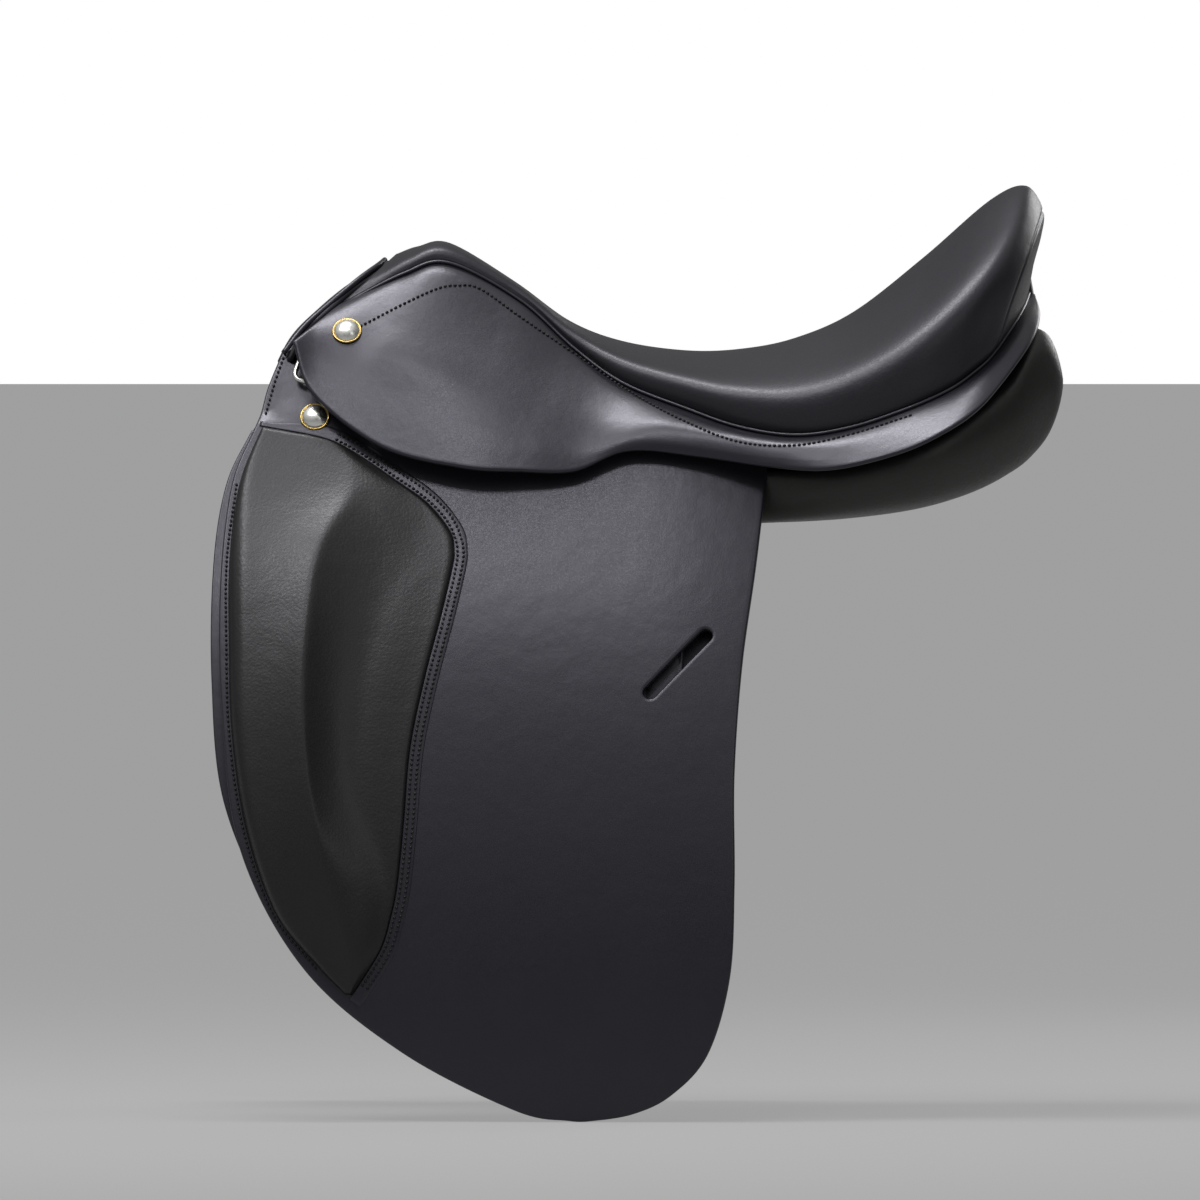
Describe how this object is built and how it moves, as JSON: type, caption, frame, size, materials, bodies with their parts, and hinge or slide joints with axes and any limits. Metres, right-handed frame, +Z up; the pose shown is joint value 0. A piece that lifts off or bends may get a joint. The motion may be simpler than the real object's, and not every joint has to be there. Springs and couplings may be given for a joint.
{
  "type": "dressage saddle",
  "caption": "English dressage saddle with deep seat, long straight flaps, large knee blocks, stirrup bars and long girth straps.",
  "frame": {"origin": "on the centre plane under the seat, level with the underside of the panels where they lie on the horse", "axes": "+Z up, pommel towards -X and cantle towards +X, left flap towards -Y"},
  "size_m": [0.5459, 0.4488, 0.5965],
  "materials": {
    "black_leather": "smooth, semi-gloss",
    "grip_leather": "soft, finely grained",
    "steel": "polished",
    "brass": "polished",
    "wood": "laminated, sealed",
    "foam": "soft foam",
    "web": "woven",
    "lining": "woven canvas"
  },
  "bodies": {
    "saddle": {"tree": "wood", "head_plate": "steel", "left_spring": "steel", "right_spring": "steel", "seat_web": "web", "seat_foam": "foam", "seat_cover": "black_leather", "cantle_facing": "black_leather", "left_welt": "black_leather", "right_welt": "black_leather", "left_skirt": "black_leather", "right_skirt": "black_leather", "left_flap_head": "black_leather", "right_flap_head": "black_leather", "left_sweat_flap": "black_leather", "right_sweat_flap": "black_leather", "left_panel": "grip_leather", "right_panel": "grip_leather", "pommel_facing": "black_leather", "gullet_lining": "lining", "left_tree_point": "wood", "right_tree_point": "wood", "left_stirrup_bar": "steel", "right_stirrup_bar": "steel", "left_catch_pin": "steel", "right_catch_pin": "steel", "stirrup_bar_rivets": "steel", "left_girth_web": "web", "right_girth_web": "web", "left_dee_chape": "black_leather", "right_dee_chape": "black_leather", "nail_domes": "steel", "nail_collars": "brass"},
    "left_flap": {"left_flap": "black_leather", "left_knee_block": "foam", "left_knee_cover": "grip_leather"},
    "left_skirt_lip": {"left_skirt_lip": "black_leather"},
    "left_front_billet": {"left_front_billet": "black_leather"},
    "left_rear_billet": {"left_rear_billet": "black_leather"},
    "left_bar_catch": {"left_bar_catch": "steel"},
    "left_dee": {"left_dee": "steel"},
    "right_flap": {"right_flap": "black_leather", "right_knee_block": "foam", "right_knee_cover": "grip_leather"},
    "right_skirt_lip": {"right_skirt_lip": "black_leather"},
    "right_front_billet": {"right_front_billet": "black_leather"},
    "right_rear_billet": {"right_rear_billet": "black_leather"},
    "right_bar_catch": {"right_bar_catch": "steel"},
    "right_dee": {"right_dee": "steel"}
  },
  "joints": [
    {"name": "left_flap_lift", "type": "hinge", "parent": "saddle", "child": "left_flap", "pos_m": [-0.086, -0.12151, 0.024], "axis": [-0.9485, 0.1799, 0.2608], "range_deg": [0, 60]},
    {"name": "right_flap_lift", "type": "hinge", "parent": "saddle", "child": "right_flap", "pos_m": [-0.086, 0.12151, 0.024], "axis": [0.9485, 0.1799, -0.2608], "range_deg": [0, 60]},
    {"name": "left_skirt_lift", "type": "hinge", "parent": "saddle", "child": "left_skirt_lip", "pos_m": [-0.1095, -0.1085, 0.0835], "axis": [-0.9375, 0.1841, 0.2954], "range_deg": [0, 50]},
    {"name": "right_skirt_lift", "type": "hinge", "parent": "saddle", "child": "right_skirt_lip", "pos_m": [-0.1095, 0.1085, 0.0835], "axis": [0.9375, 0.1841, -0.2954], "range_deg": [0, 50]},
    {"name": "left_front_billet_swing", "type": "hinge", "parent": "saddle", "child": "left_front_billet", "pos_m": [-0.07699, -0.11669, 0.00704], "axis": [-0.0468, -0.8937, 0.4462], "range_deg": [-6, 3]},
    {"name": "right_front_billet_swing", "type": "hinge", "parent": "saddle", "child": "right_front_billet", "pos_m": [-0.07699, 0.11669, 0.00704], "axis": [0.0468, -0.8937, -0.4462], "range_deg": [-6, 3]},
    {"name": "left_rear_billet_swing", "type": "hinge", "parent": "saddle", "child": "left_rear_billet", "pos_m": [0.01688, -0.12161, 0.00704], "axis": [-0.0468, -0.8937, 0.4462], "range_deg": [-3, 6]},
    {"name": "right_rear_billet_swing", "type": "hinge", "parent": "saddle", "child": "right_rear_billet", "pos_m": [0.01688, 0.12161, 0.00704], "axis": [0.0468, -0.8937, -0.4462], "range_deg": [-3, 6]},
    {"name": "left_bar_catch_turn", "type": "hinge", "parent": "saddle", "child": "left_bar_catch", "pos_m": [-0.11246, -0.11022, 0.06402], "axis": [-0.0468, -0.8937, 0.4462], "range_deg": [0, 90]},
    {"name": "right_bar_catch_turn", "type": "hinge", "parent": "saddle", "child": "right_bar_catch", "pos_m": [-0.11246, 0.11022, 0.06402], "axis": [0.0468, -0.8937, -0.4462], "range_deg": [0, 90]},
    {"name": "left_dee_swing", "type": "hinge", "parent": "saddle", "child": "left_dee", "pos_m": [-0.20518, -0.07582, 0.11174], "axis": [-0.9535, 0.1731, 0.2467], "range_deg": [0, 10]},
    {"name": "right_dee_swing", "type": "hinge", "parent": "saddle", "child": "right_dee", "pos_m": [-0.20518, 0.07582, 0.11174], "axis": [0.9535, 0.1731, -0.2467], "range_deg": [0, 10]}
  ]
}
